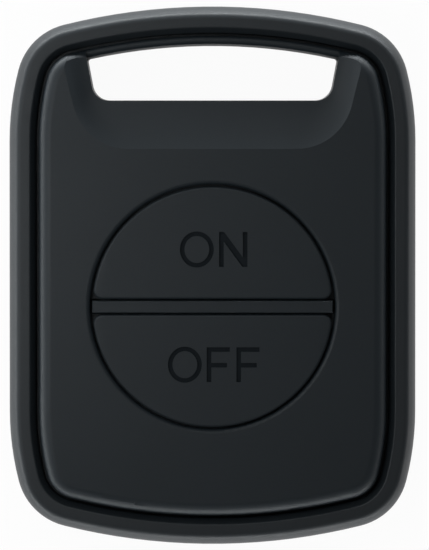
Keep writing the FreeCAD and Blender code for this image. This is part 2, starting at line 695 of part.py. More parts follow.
def battery_door():
    """Round door: a flange that sits in the rear face, a hub with three lugs, and a slot for a coin."""
    flange = disc(DOOR_CENTRE, DOOR_RADIUS, DOOR_RECESS, DOOR_INSIDE)
    hub = tube(DOOR_CENTRE, HUB_RADIUS, HUB_INNER_RADIUS, DOOR_RECESS, HUB_TOP)
    pad_top = CELL_BOTTOM - CELL_TOUCH_GAP
    pad = tube(DOOR_CENTRE, PAD_RADIUS + PAD_WIDTH, PAD_RADIUS, DOOR_RECESS, pad_top)
    length = COIN_SLOT_LENGTH + 2 * COIN_SLOT_WALL
    width = COIN_SLOT_WIDTH + 2 * COIN_SLOT_WALL
    slot_back = block(DOOR_CENTRE, length, width, DOOR_RECESS, pad_top)
    lugs = [
        sector(
            DOOR_CENTRE, HUB_INNER_RADIUS, HUB_RADIUS + LUG_REACH, LUG_BOTTOM, HUB_TOP,
            angle, LUG_ANGLE,
        )
        for angle in lug_angles()
    ]
    door = joined([flange, hub, pad, slot_back] + lugs)
    height = seal_height()
    half = SEAL_SECTION / 2 + SEAL_SIDE_GAP
    groove_floor = DOOR_BORE_RADIUS - SEAL_SQUEEZE_GAP - SEAL_SECTION - SEAL_SIDE_GAP
    groove = tube(DOOR_CENTRE, HUB_RADIUS, groove_floor, height - half, height + half)
    coin_slot = block(
        DOOR_CENTRE, COIN_SLOT_LENGTH, COIN_SLOT_WIDTH, DOOR_RECESS, DOOR_RECESS + COIN_SLOT_DEPTH)
    coin_slot = coin_slot.makeFillet(COIN_SLOT_CORNER, upright_edges(coin_slot))
    return door.cut([groove, coin_slot])


def door_seal():
    """Round seal in the hub's groove."""
    radius = DOOR_BORE_RADIUS - SEAL_SQUEEZE_GAP - SEAL_SECTION / 2
    return Part.makeTorus(radius, SEAL_SECTION / 2, DOOR_CENTRE + V(0, 0, seal_height()), UP)


# Keys

def half_moon(radius, flat, bottom, top, corner=0.0):
    """The upper part of a round bar on the key centre, above a flat, with rounded corners."""
    reach = 2 * radius
    upper = Part.makeBox(2 * reach, reach, top - bottom, V(-reach, KEY_CENTRE_Y + flat, bottom))
    moon = disc(KEY_CENTRE, radius, bottom, top).common(upper)
    if corner:
        corners = [e for e in upright_edges(moon) if abs(e.BoundBox.YMin - KEY_CENTRE_Y - flat) < 1e-6]
        moon = moon.makeFillet(corner, corners)
    return moon


def upper_key():
    """The key above the bar: a hollow cap, a flange that the panel retains, and a stem with ribs."""
    cap = half_moon(KEY_RADIUS, KEY_FLAT, KEY_BOTTOM, PANEL_TOP, KEY_CORNER)
    cap = cap.makeFillet(KEY_EDGE_ROUND, level_edges(cap, PANEL_TOP))
    flange_top = KEY_BOTTOM + KEY_FLANGE_THICKNESS
    flange = half_moon(KEY_FLANGE_RADIUS, KEY_FLAT, KEY_BOTTOM, flange_top, KEY_CORNER)
    inside = PANEL_TOP - KEY_CAP
    hollow = half_moon(
        KEY_RADIUS - KEY_SKIRT, KEY_FLAT + KEY_SKIRT, KEY_BOTTOM, inside, KEY_CORNER)
    shell = joined([cap, flange]).cut(hollow)
    place = KEY_CENTRE + V(0, SWITCH_OFFSET, 0)
    stem = disc(place, STEM_RADIUS, PLUNGER_TOP + CELL_TOUCH_GAP, inside)
    rib_bottom = inside - KEY_RIB_DROP
    across = block(place, 2 * KEY_RADIUS, KEY_RIB, rib_bottom, inside)
    along = block(place, KEY_RIB, 2 * KEY_RADIUS, rib_bottom, inside)
    ribs = across.fuse(along).common(
        half_moon(KEY_RADIUS - KEY_SKIRT / 2, KEY_FLAT + KEY_SKIRT / 2, rib_bottom, inside))
    return joined([shell, stem, ribs])


def lower_copy(shape):
    """The same thing for the key below the bar."""
    turned_shape = shape.copy()
    turned_shape.rotate(KEY_CENTRE, UP, 180)
    return turned_shape


def key_guide():
    """Plate under the keys with a window for each switch, feet on the board, and the bar between keys."""
    plate = disc(KEY_CENTRE, GUIDE_RADIUS, GUIDE_BOTTOM, GUIDE_TOP).common(
        slab(BOARD_EDGE, GUIDE_BOTTOM, GUIDE_TOP))
    foot_reach = GUIDE_RADIUS - GUIDE_FOOT_INSET
    feet = [
        disc(polar(KEY_CENTRE, foot_reach, math.radians(angle)),
             GUIDE_FOOT_RADIUS, BOARD_TOP, GUIDE_BOTTOM)
        for angle in GUIDE_FOOT_ANGLES
    ]
    bar = block(KEY_CENTRE, BAR_LENGTH, BAR_HEIGHT, GUIDE_BOTTOM, PANEL_TOP)
    bar = bar.makeChamfer(BAR_EDGE_BEVEL, level_edges(bar, PANEL_TOP))
    window = SWITCH_WIDTH + 2 * MOVING_GAP
    windows = [
        block(KEY_CENTRE + V(0, side * SWITCH_OFFSET, 0), window, window, GUIDE_BOTTOM, GUIDE_TOP)
        for side in (1, -1)
    ]
    return joined([plate, bar] + feet).cut(windows)


# Switch under the upper key

def switch_base():
    """Square body with a round chamber for the dome and a hole for the plunger."""
    place = KEY_CENTRE + V(0, SWITCH_OFFSET, 0)
    body = block(place, SWITCH_WIDTH, SWITCH_WIDTH, BOARD_TOP, SWITCH_TOP)
    body = body.makeFillet(SWITCH_ROOF, upright_edges(body))
    chamber = disc(place, SWITCH_CAVITY_RADIUS, BOARD_TOP + SWITCH_FLOOR, SWITCH_TOP - SWITCH_ROOF)
    hole = disc(place, PLUNGER_RADIUS + PLUNGER_HOLE_GAP, BOARD_TOP + SWITCH_FLOOR, SWITCH_TOP)
    return body.cut([chamber, hole])


def switch_dome():
    """Thin sprung dome that snaps when the plunger comes down."""
    place = KEY_CENTRE + V(0, SWITCH_OFFSET, 0)
    reach = SWITCH_CAVITY_RADIUS - 2 * PLUNGER_HOLE_GAP
    bottom = BOARD_TOP + SWITCH_FLOOR
    radius = (reach ** 2 + DOME_RISE ** 2) / (2 * DOME_RISE)
    centre = place + V(0, 0, bottom + DOME_RISE - radius)
    ball = Part.makeSphere(radius, centre)
    inner = Part.makeSphere(radius - DOME_SHEET, centre)
    return ball.cut(inner).common(disc(place, reach, bottom, bottom + DOME_RISE))


def switch_plunger():
    """Stepped pin between the dome and the key's stem."""
    place = KEY_CENTRE + V(0, SWITCH_OFFSET, 0)
    bottom = BOARD_TOP + SWITCH_FLOOR + DOME_RISE + CELL_TOUCH_GAP
    flange_radius = SWITCH_CAVITY_RADIUS - MOVING_GAP
    top = bottom + PLUNGER_FLANGE
    return joined([
        disc(place, flange_radius, bottom, top),
        disc(place, PLUNGER_RADIUS, bottom, PLUNGER_TOP),
    ])


# Cell, board and contacts

def coin_cell():
    """Flat round cell: a wide can with a smaller cap towards the board."""
    shoulder = CELL_TOP - CELL_CAP_RISE
    can = disc(DOOR_CENTRE, CELL_RADIUS, CELL_BOTTOM, shoulder)
    edges = level_edges(can, CELL_BOTTOM) + level_edges(can, shoulder)
    can = can.makeFillet(CELL_EDGE_ROUND, edges)
    return joined([can, disc(DOOR_CENTRE, CELL_CAP_RADIUS, CELL_BOTTOM, CELL_TOP)])


def cell_cradle():
    """Ring that holds the cell, open at one side for the contact on its edge."""
    inner = CELL_RADIUS + CRADLE_GAP
    ring = tube(DOOR_CENTRE, inner + CRADLE_WALL, inner, HUB_TOP + CRADLE_CLEARANCE, BOARD_BOTTOM)
    opening = CONTACT_WIDTH + 2 * CRADLE_GAP
    gate = Part.makeBox(
        CRADLE_WALL + 2 * CRADLE_GAP, opening, BOARD_BOTTOM,
        V(CELL_RADIUS, DOOR_CENTRE_Y - opening / 2, 0))
    return ring.cut(gate)


def positive_contact():
    """Bent leaf that touches the side of the cell, with a foot under the board."""
    touch = CELL_RADIUS + CELL_TOUCH_GAP
    reach = CRADLE_WALL + CRADLE_GAP
    low = HUB_TOP + CRADLE_CLEARANCE
    start = DOOR_CENTRE_Y - CONTACT_WIDTH / 2
    leaf = Part.makeBox(CONTACT_SHEET, CONTACT_WIDTH, BOARD_BOTTOM - low, V(touch, start, low))
    foot = Part.makeBox(
        reach, CONTACT_WIDTH, CONTACT_SHEET, V(touch, start, BOARD_BOTTOM - CONTACT_SHEET))
    return joined([leaf, foot])


def negative_contact():
    """Bowed leaf between the board and the cell's cap."""
    half = CONTACT_SPAN / 2
    high = BOARD_BOTTOM - CONTACT_SHEET / 2
    low = CELL_TOP + CELL_TOUCH_GAP + CONTACT_SHEET / 2
    lift = V(0, 0, CONTACT_SHEET / 2)
    ends = [V(-half - CONTACT_PAD, 0, high), V(-half, 0, high), V(half, 0, high)]
    ends.append(V(half + CONTACT_PAD, 0, high))
    middle = V(0, 0, low)
    edges = [
        Part.makeLine(ends[0] - lift, ends[1] - lift),
        Part.Arc(ends[1] - lift, middle - lift, ends[2] - lift).toShape(),
        Part.makeLine(ends[2] - lift, ends[3] - lift),
        Part.makeLine(ends[3] - lift, ends[3] + lift),
        Part.makeLine(ends[3] + lift, ends[2] + lift),
        Part.Arc(ends[2] + lift, middle + lift, ends[1] + lift).toShape(),
        Part.makeLine(ends[1] + lift, ends[0] + lift),
        Part.makeLine(ends[0] + lift, ends[0] - lift),
    ]
    leaf = Part.Face(Part.Wire(edges)).extrude(V(0, CONTACT_WIDTH, 0))
    leaf.translate(V(0, DOOR_CENTRE_Y - CONTACT_WIDTH / 2, 0))
    return leaf


def circuit_board():
    """Board with the case's bowed end, cut straight below the slot, and notched round the bosses."""
    board = slab(BOARD_EDGE, BOARD_BOTTOM, BOARD_TOP)
    beyond = Part.makeBox(
        CASE_WIDTH, CASE_LENGTH, BOARD_THICKNESS, V(-HALF_WIDTH, BOARD_UPPER_Y, BOARD_BOTTOM))
    radius = BOSS_RADIUS + BOARD_GAP
    notches = []
    for place in screw_places():
        side = math.copysign(HALF_WIDTH, place.x)
        channel = block(V((place.x + side) / 2, place.y, 0), abs(side - place.x), 2 * radius,
                        BOARD_BOTTOM, BOARD_TOP)
        notches += [disc(place, radius, BOARD_BOTTOM, BOARD_TOP), channel]
    return board.cut([beyond] + notches)


def underside_part(x, y, length, width, height):
    """A part soldered under the board."""
    return block(V(x, y, 0), length, width, BOARD_BOTTOM - height, BOARD_BOTTOM)


def parts_row(count, x, y, height):
    """A row of small soldered parts under the board."""
    return Part.makeCompound([
        underside_part(x + index * SMALL_PART_PITCH, y, SMALL_PART_LENGTH, SMALL_PART_WIDTH, height)
        for index in range(count)
    ])


def antenna_wire():
    """Bent wire loop that stands on the board below the key guide, between the lower bosses."""
    y = KEY_CENTRE_Y - GUIDE_RADIUS - MOVING_GAP - ANTENNA_WIRE_RADIUS
    x = screw_places()[-1].x - BOSS_RADIUS - 2 * BOARD_GAP - ANTENNA_WIRE_RADIUS
    top = BOARD_TOP + ANTENNA_HEIGHT
    bend = ANTENNA_BEND
    ease = bend * (1 - math.sqrt(0.5))
    edges = [
        Part.makeLine(V(-x, y, BOARD_TOP), V(-x, y, top - bend)),
        Part.Arc(V(-x, y, top - bend), V(-x + ease, y, top - ease), V(-x + bend, y, top)).toShape(),
        Part.makeLine(V(-x + bend, y, top), V(x - bend, y, top)),
        Part.Arc(V(x - bend, y, top), V(x - ease, y, top - ease), V(x, y, top - bend)).toShape(),
        Part.makeLine(V(x, y, top - bend), V(x, y, BOARD_TOP)),
    ]
    ring = Part.Wire(Part.makeCircle(ANTENNA_WIRE_RADIUS, V(-x, y, BOARD_TOP), UP))
    return Part.Wire(edges).makePipeShell([ring], True, False)


def pieces():
    """Every piece by name."""
    upper_row_y = BOARD_UPPER_Y - CHIP_WIDTH / 2 - 2 * SMALL_PART_WIDTH - 2 * BOARD_GAP
    chip_x = screw_places()[0].x + SLEEVE_RADIUS + BOARD_GAP + CHIP_WIDTH / 2
    row_x = POST_RADIUS + CRYSTAL_LENGTH
    above_chip = upper_row_y + CHIP_WIDTH / 2 + SMALL_PART_WIDTH + BOARD_GAP
    key = upper_key()
    base = switch_base()
    dome = switch_dome()
    plunger = switch_plunger()
    return {
        "outer_frame": outer_frame(),
        "front_cover": front_cover(),
        "rear_cover": rear_cover(),
        "case_screws": case_screws(),
        "battery_door": battery_door(),
        "door_seal": door_seal(),
        "on_button": key,
        "off_button": lower_copy(key),
        "key_guide": key_guide(),
        "on_switch_base": base,
        "off_switch_base": lower_copy(base),
        "on_switch_dome": dome,
        "off_switch_dome": lower_copy(dome),
        "on_switch_plunger": plunger,
        "off_switch_plunger": lower_copy(plunger),
        "circuit_board": circuit_board(),
        "coin_cell": coin_cell(),
        "cell_cradle": cell_cradle(),
        "positive_contact": positive_contact(),
        "negative_contact": negative_contact(),
        "radio_chip": underside_part(chip_x, upper_row_y, CHIP_WIDTH, CHIP_WIDTH, CHIP_HEIGHT),
        "crystal": underside_part(
            row_x, upper_row_y, CRYSTAL_LENGTH, CRYSTAL_WIDTH, CRYSTAL_HEIGHT),
        "antenna_wire": antenna_wire(),
        "chip_capacitors": parts_row(
            CAPACITOR_COUNT, -POST_RADIUS - CAPACITOR_COUNT * SMALL_PART_PITCH, above_chip,
            CAPACITOR_HEIGHT),
        "chip_resistors": parts_row(
            RESISTOR_COUNT, POST_RADIUS + SMALL_PART_PITCH, upper_row_y + CRYSTAL_WIDTH,
            RESISTOR_HEIGHT),
    }


os.makedirs(PARTS_FOLDER, exist_ok=True)
for name, shape in pieces().items():
    shape.exportStep(os.path.join(PARTS_FOLDER, name + ".step"))
    print(name, "solids", len(shape.Solids), "valid", shape.isValid(), "mm3", round(shape.Volume, 2))
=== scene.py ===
import json
import math

import bmesh
import bpy
from bpy.props import FloatProperty, FloatVectorProperty, IntProperty, PointerProperty
from mathutils import Matrix, Vector


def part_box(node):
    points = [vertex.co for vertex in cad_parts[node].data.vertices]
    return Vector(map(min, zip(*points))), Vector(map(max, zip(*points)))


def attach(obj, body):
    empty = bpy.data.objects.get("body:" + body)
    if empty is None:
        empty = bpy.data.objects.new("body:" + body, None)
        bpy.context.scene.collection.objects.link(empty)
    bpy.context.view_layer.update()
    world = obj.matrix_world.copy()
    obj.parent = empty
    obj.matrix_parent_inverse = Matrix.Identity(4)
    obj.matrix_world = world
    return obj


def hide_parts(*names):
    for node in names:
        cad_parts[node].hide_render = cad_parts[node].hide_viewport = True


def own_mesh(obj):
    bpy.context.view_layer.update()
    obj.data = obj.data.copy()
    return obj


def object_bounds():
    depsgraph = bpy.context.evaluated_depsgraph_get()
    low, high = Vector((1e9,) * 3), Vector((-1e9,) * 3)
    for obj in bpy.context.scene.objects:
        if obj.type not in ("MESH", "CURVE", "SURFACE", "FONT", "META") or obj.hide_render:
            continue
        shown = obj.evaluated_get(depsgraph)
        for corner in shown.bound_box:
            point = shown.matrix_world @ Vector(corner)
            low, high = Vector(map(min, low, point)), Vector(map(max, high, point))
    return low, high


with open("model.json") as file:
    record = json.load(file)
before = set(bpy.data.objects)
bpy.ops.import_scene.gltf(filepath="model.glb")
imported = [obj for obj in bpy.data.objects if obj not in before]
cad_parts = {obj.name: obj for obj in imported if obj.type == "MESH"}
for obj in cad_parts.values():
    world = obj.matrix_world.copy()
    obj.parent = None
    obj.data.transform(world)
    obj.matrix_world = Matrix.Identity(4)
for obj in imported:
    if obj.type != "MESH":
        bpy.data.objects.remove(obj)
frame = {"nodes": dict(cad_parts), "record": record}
CAD_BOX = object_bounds()

bl_info = {
    "name": "Alarm Remote Finish",
    "version": (1, 0, 0),
    "blender": (4, 5, 0),
    "location": "View3D > Sidebar > Alarm Remote",
    "description": "Engraves the keys of a pocket alarm remote, finishes its parts and lights it",
    "category": "Object",
}

MM = 0.001

NODES = frame["nodes"]
CAD_LOW, CAD_HIGH = CAD_BOX
KEY_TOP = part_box("on_button")[1].z

# Which finish each part takes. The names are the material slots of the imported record.
FINISH_OF_PART = {
    part["node"]: part["material_slot"] for part in frame["record"]["subparts"]
}


# Sizes and colours that a user would change

class RemoteLettering(bpy.types.PropertyGroup):
    """Words cut into the keys"""

    cap_height: FloatProperty(
        name="Cap height", description="Height of the capitals",
        default=3.43 * MM, unit="LENGTH", precision=5)
    stroke: FloatProperty(
        name="Stroke", description="Width of the letters' strokes",
        default=0.45 * MM, unit="LENGTH", precision=5)
    depth: FloatProperty(
        name="Depth", description="How deep the letters are cut",
        default=0.3 * MM, unit="LENGTH", precision=5)
    on_base: FloatProperty(
        name="ON base line", description="Height of the upper word's base line along the remote",
        default=0.92 * MM, unit="LENGTH", precision=5)
    off_base: FloatProperty(
        name="OFF base line", description="Height of the lower word's base line along the remote",
        default=-10.4 * MM, unit="LENGTH", precision=5)
    round_segments: IntProperty(
        name="Round segments", description="Steps round each letter O", default=72, min=16)
    ink: FloatVectorProperty(
        name="Ink", description="Colour inside the letters", subtype="COLOR", size=3,
        default=(0.007, 0.0108, 0.0142), min=0, max=1)


class RemoteFinish(bpy.types.PropertyGroup):
    """Colours and textures of the mouldings"""

    case_colour: FloatVectorProperty(
        name="Case", description="Colour of the covers and the door", subtype="COLOR", size=3,
        default=(0.0084, 0.0138, 0.0182), min=0, max=1)
    frame_colour: FloatVectorProperty(
        name="Frame", description="Colour of the ring round the case", subtype="COLOR", size=3,
        default=(0.0110, 0.0154, 0.019), min=0, max=1)
    key_colour: FloatVectorProperty(
        name="Keys", description="Colour of the keys and the bar", subtype="COLOR", size=3,
        default=(0.0084, 0.0138, 0.0182), min=0, max=1)
    case_roughness: FloatProperty(
        name="Case roughness", description="How matt the covers and keys are",
        default=0.5, min=0, max=1, subtype="FACTOR")
    frame_roughness: FloatProperty(
        name="Frame roughness", description="How matt the ring is",
        default=0.5, min=0, max=1, subtype="FACTOR")
    grain_size: FloatProperty(
        name="Grain size", description="Width of one grain of the mould's spark texture",
        default=0.14 * MM, unit="LENGTH", precision=6)
    grain_depth: FloatProperty(
        name="Grain depth", description="Depth of the mould's spark texture",
        default=0.006 * MM, unit="LENGTH", precision=6)


class RemoteStudio(bpy.types.PropertyGroup):
    """Camera, lights and floor"""

    camera_height: FloatProperty(
        name="Camera height", description="Distance from the camera to the case",
        default=700 * MM, unit="LENGTH")
    view_height: FloatProperty(
        name="View height", description="Length that the picture's height covers on the case",
        default=54.39 * MM, unit="LENGTH", precision=5)
    lean_right: FloatProperty(
        name="Lean right", description="How far the camera stands to the right of straight above",
        default=0, subtype="ANGLE")
    lean_up: FloatProperty(
        name="Lean up", description="How far the camera stands towards the slot's end",
        default=math.radians(1.7), subtype="ANGLE")
    aim: FloatVectorProperty(
        name="Aim", description="Point on the case at the middle of the picture",
        subtype="TRANSLATION", size=3, default=(0.195 * MM, -0.028 * MM, 4.6 * MM))
    floor_size: FloatProperty(
        name="Floor size", description="Side of the floor", default=2.0, unit="LENGTH")
    room_light: FloatProperty(
        name="Room light", description="Strength of the even light from all round",
        default=0.55, min=0)
    ceiling: FloatProperty(
        name="Ceiling", description="Brightness of the ceiling in reflections",
        default=0.02, min=0, max=1, subtype="FACTOR")
    key_light: FloatProperty(
        name="Key light", description="Power of the small lamp close to the left edge",
        default=0.0135, min=0, precision=4, unit="POWER")
    high_light: FloatProperty(
        name="High light", description="Power of the soft lamp above the slot's end",
        default=0.013, min=0, precision=4, unit="POWER")
    side_light: FloatProperty(
        name="Side light", description="Power of the long soft lamp on the left",
        default=0.028, min=0, precision=4, unit="POWER")
    end_light: FloatProperty(
        name="End light", description="Power of the long soft lamp at the lower end",
        default=0.006, min=0, precision=4, unit="POWER")
    rim_light: FloatProperty(
        name="Rim light",
        description="Power of the low strip at the slot's end, which the others follow",
        default=0.17, min=0, precision=4, unit="POWER")


# Node helpers

def new_material(name):
    """An empty material with its shader and output: returns the material, node tree and shader."""
    material = bpy.data.materials.new(name)
    material.use_nodes = True
    tree = material.node_tree
    tree.nodes.clear()
    output = tree.nodes.new("ShaderNodeOutputMaterial")
    shader = tree.nodes.new("ShaderNodeBsdfPrincipled")
    tree.links.new(shader.outputs["BSDF"], output.inputs["Surface"])
    return material, tree, shader


def noise(tree, size, detail=2.0, stretch=(1, 1, 1)):
    """A noise pattern in object space whose features are about size across, in metres."""
    place = tree.nodes.new("ShaderNodeTexCoord")
    mapping = tree.nodes.new("ShaderNodeMapping")
    mapping.inputs["Scale"].default_value = stretch
    pattern = tree.nodes.new("ShaderNodeTexNoise")
    pattern.inputs["Scale"].default_value = 1 / size
    pattern.inputs["Detail"].default_value = detail
    tree.links.new(place.outputs["Object"], mapping.inputs["Vector"])
    tree.links.new(mapping.outputs["Vector"], pattern.inputs["Vector"])
    return pattern.outputs["Fac"]


def spread(tree, value, low, high):
    """The value from 0.3 to 0.7, which noise mostly keeps to, spread from low to high."""
    ramp = tree.nodes.new("ShaderNodeMapRange")
    ramp.inputs["From Min"].default_value = 0.3
    ramp.inputs["From Max"].default_value = 0.7
    ramp.inputs["To Min"].default_value = low
    ramp.inputs["To Max"].default_value = high
    tree.links.new(value, ramp.inputs["Value"])
    return ramp.outputs["Result"]


def blend_colours(tree, factor, first, second):
    """Two colours mixed by a pattern."""
    mix = tree.nodes.new("ShaderNodeMix")
    mix.data_type = "RGBA"
    mix.inputs["A"].default_value = (*first, 1)
    mix.inputs["B"].default_value = (*second, 1)
    tree.links.new(factor, mix.inputs["Factor"])
    return mix.outputs["Result"]


def scaled(colour, factor):
    """A colour made lighter or darker."""
    return tuple(min(1.0, channel * factor) for channel in colour)


def bump(tree, shader, height, depth):
    """Raises the surface by a pattern, depth metres from its low to its high places."""
    node = tree.nodes.new("ShaderNodeBump")
    node.inputs["Strength"].default_value = 1.0
    node.inputs["Distance"].default_value = depth
    tree.links.new(height, node.inputs["Height"])
    tree.links.new(node.outputs["Normal"], shader.inputs["Normal"])


# Finishes

PLASTIC_IOR = 1.5
FRAME_IOR = 1.55
INK_IOR = 1.25
RUBBER_IOR = 1.4
DRIFT_SIZE = 9 * MM
DRIFT_SHARE = 0.05
GLOSS_SHARE = 0.04


def moulded(name, colour, roughness, grain_size, grain_depth, ior=PLASTIC_IOR):
    """Moulded plastic: fine spark texture, with a slow drift in colour as real mouldings have."""
    material, tree, shader = new_material(name)
    drift = noise(tree, DRIFT_SIZE, detail=1.0)
    tree.links.new(
        blend_colours(
            tree, drift, scaled(colour, 1 - DRIFT_SHARE), scaled(colour, 1 + DRIFT_SHARE)),
        shader.inputs["Base Color"])
    grain = noise(tree, grain_size, detail=3.0)
    tree.links.new(
        spread(tree, grain, roughness - GLOSS_SHARE, roughness + GLOSS_SHARE),
        shader.inputs["Roughness"])
    shader.inputs["IOR"].default_value = ior
    bump(tree, shader, grain, grain_depth)
    return material


def metal(name, colour, roughness, brush=(1, 1, 1), brush_size=0.2 * MM, depth=0.002 * MM):
    """Sheet or turned metal, with fine marks drawn out along one axis."""
    material, tree, shader = new_material(name)
    marks = noise(tree, brush_size, detail=4.0, stretch=brush)
    tree.links.new(
        blend_colours(tree, marks, scaled(colour, 0.9), scaled(colour, 1.06)),
        shader.inputs["Base Color"])
    tree.links.new(
        spread(tree, marks, roughness - 0.06, roughness + 0.1), shader.inputs["Roughness"])
    shader.inputs["Metallic"].default_value = 1.0
    bump(tree, shader, marks, depth)
    return material


def solder_mask(name, colour, copper):
    """Green board: lacquer over a glass weave, paler where copper lies under it."""
    material, tree, shader = new_material(name)
    tracks = noise(tree, 2.2 * MM, detail=0.0, stretch=(1, 0.35, 1))
    edge = tree.nodes.new("ShaderNodeMapRange")
    edge.interpolation_type = "SMOOTHSTEP"
    edge.inputs["From Min"].default_value = 0.52
    edge.inputs["From Max"].default_value = 0.54
    tree.links.new(tracks, edge.inputs["Value"])
    tree.links.new(
        blend_colours(tree, edge.outputs["Result"], colour, copper), shader.inputs["Base Color"])
    weave = noise(tree, 0.25 * MM, detail=1.0)
    tree.links.new(spread(tree, weave, 0.28, 0.4), shader.inputs["Roughness"])
    bump(tree, shader, edge.outputs["Result"], 0.03 * MM)
    return material


FINISHES = {}


def make_finishes(finish, lettering):
    """Every finish by the name of its slot, with the letters' ink beside them."""
    grain = (finish.grain_size, finish.grain_depth)
    return {
        "case_plastic": moulded("case_plastic", finish.case_colour, finish.case_roughness, *grain),
        "frame_plastic": moulded(
            "frame_plastic", finish.frame_colour, finish.frame_roughness, *grain, ior=FRAME_IOR),
        "key_plastic": moulded("key_plastic", finish.key_colour, finish.case_roughness, *grain),
        "plunger_plastic": moulded(
            "plunger_plastic", (0.6, 0.6, 0.58), 0.4, 0.3 * MM, 0.003 * MM),
        "part_black": moulded("part_black", (0.012, 0.012, 0.012), 0.5, 0.1 * MM, 0.004 * MM),
        "seal_rubber": moulded(
            "seal_rubber", (0.012, 0.012, 0.012), 0.6, 0.2 * MM, 0.002 * MM, ior=RUBBER_IOR),
        "ceramic": moulded("ceramic", (0.4, 0.29, 0.17), 0.5, 0.08 * MM, 0.004 * MM),
        "black_steel": metal("black_steel", (0.07, 0.07, 0.075), 0.38),
        "spring_steel": metal("spring_steel", (0.6, 0.59, 0.56), 0.28, (1, 0.1, 1)),
        "cell_steel": metal("cell_steel", (0.6, 0.6, 0.59), 0.26, (1, 0.06, 1)),
        "copper_wire": metal("copper_wire", (0.76, 0.4, 0.24), 0.25, (0.1, 1, 1)),
        "board_laminate": solder_mask("board_laminate", (0.012, 0.09, 0.035), (0.03, 0.17, 0.06)),
        "ink": moulded("ink", lettering.ink, 0.7, *grain, ior=INK_IOR),
    }


def finish_named(slot):
    """The finish of a slot. All of them are made on the first call."""
    if not FINISHES:
        scene = bpy.context.scene
        FINISHES.update(make_finishes(scene.remote_finish, scene.remote_lettering))
    return FINISHES[slot]


# Smooth shading of the faceted mouldings

SMOOTH_GROUP = "Smooth below an angle"
SHARP_ANGLE = math.radians(15)
WELD_DISTANCE = 0.0005 * MM


def smoothing_group():
    """A node group that shades a mesh smooth, apart from its edges over the sharp angle."""
    if SMOOTH_GROUP in bpy.data.node_groups:
        return bpy.data.node_groups[SMOOTH_GROUP]
    group = bpy.data.node_groups.new(SMOOTH_GROUP, "GeometryNodeTree")
    group.interface.new_socket("Geometry", in_out="INPUT", socket_type="NodeSocketGeometry")
    group.interface.new_socket("Geometry", in_out="OUTPUT", socket_type="NodeSocketGeometry")
    start = group.nodes.new("NodeGroupInput")
    end = group.nodes.new("NodeGroupOutput")
    angle = group.nodes.new("GeometryNodeInputMeshEdgeAngle")
    below = group.nodes.new("FunctionNodeCompare")
    below.data_type = "FLOAT"
    below.operation = "LESS_EQUAL"
    below.inputs["B"].default_value = SHARP_ANGLE
    faces = group.nodes.new("GeometryNodeSetShadeSmooth")
    faces.domain = "FACE"
    edges = group.nodes.new("GeometryNodeSetShadeSmooth")
    edges.domain = "EDGE"
    link = group.links.new
    link(angle.outputs["Unsigned Angle"], below.inputs["A"])
    link(start.outputs[0], faces.inputs["Geometry"])
    link(faces.outputs[0], edges.inputs["Geometry"])
    link(below.outputs["Result"], edges.inputs["Shade Smooth"])
    link(edges.outputs[0], end.inputs[0])
    return group


def smooth(piece):
    """Joins a piece's facets and shades its rounds smooth, with its flats left flat."""
    weld = piece.modifiers.new("Weld", "WELD")
    weld.merge_threshold = WELD_DISTANCE
    shade = piece.modifiers.new("Shade", "NODES")
    shade.node_group = smoothing_group()
    even = piece.modifiers.new("Even normals", "WEIGHTED_NORMAL")
    even.mode = "FACE_AREA"
    even.weight = 50
    even.keep_sharp = True


def dress(node_name):
    """Gives a part of the frame its finish and smooth shading."""
    piece = NODES[node_name]
    material = finish_named(FINISH_OF_PART[node_name])
    piece.data.materials.clear()
    piece.data.materials.append(material)
    smooth(piece)
    return piece


# Letters, cut with solids that reach from under the key's top to above it

N_SLANT_TO_STROKE = 1.1
F_ARM_TO_HEIGHT = 0.55
F_ARM_TO_WIDTH = 0.88
O_WIDTH_TO_CAP = 0.97
O_OVERSHOOT = 0.06 * MM
N_WIDTH_TO_CAP = 0.81
F_WIDTH_TO_CAP = 0.66
ON_LEFT = -3.2 * MM
N_LEFT = 0.65 * MM
OFF_LEFT = -4.38 * MM
FIRST_F_LEFT = -0.57 * MM
SECOND_F_LEFT = 2.35 * MM


def plate(bm, points, low, high):
    """A solid with a flat outline between two heights."""
    ring = [bm.verts.new((x, y, low)) for x, y in points]
    face = bm.faces.new(ring)
    grown = bmesh.ops.extrude_face_region(bm, geom=[face])["geom"]
    top = [item for item in grown if isinstance(item, bmesh.types.BMVert)]
    bmesh.ops.translate(bm, verts=top, vec=(0, 0, high - low))


def letter_o(bm, left, base, width, height, stroke, low, high, segments):
    """An oval ring."""
    centre = Vector((left + width / 2, base + height / 2, low))
    rings = []
    for shrink in (0, 2 * stroke):
        shape = Matrix.Translation(centre) @ Matrix.Diagonal(
            ((width - shrink) / 2, (height - shrink) / 2, 1, 1))
        made = bmesh.ops.create_circle(bm, segments=segments, radius=1, matrix=shape)
        verts = set(made["verts"])
        rings += [edge for edge in bm.edges if edge.verts[0] in verts and edge.verts[1] in verts]
    faces = bmesh.ops.bridge_loops(bm, edges=rings)["faces"]
    grown = bmesh.ops.extrude_face_region(bm, geom=faces)["geom"]
    top = [item for item in grown if isinstance(item, bmesh.types.BMVert)]
    bmesh.ops.translate(bm, verts=top, vec=(0, 0, high - low))


def letter_n(bm, left, base, width, height, stroke, low, high):
    """Two posts and a slanted stroke between them."""
    right = left + width
    top = base + height
    slant = stroke * N_SLANT_TO_STROKE
    plate(bm, [
        (left, base), (left + stroke, base), (left + stroke, top - slant - stroke),
        (right - slant, base), (right, base), (right, top), (right - stroke, top),
        (right - stroke, base + slant + stroke), (left + slant, top), (left, top),
    ], low, high)


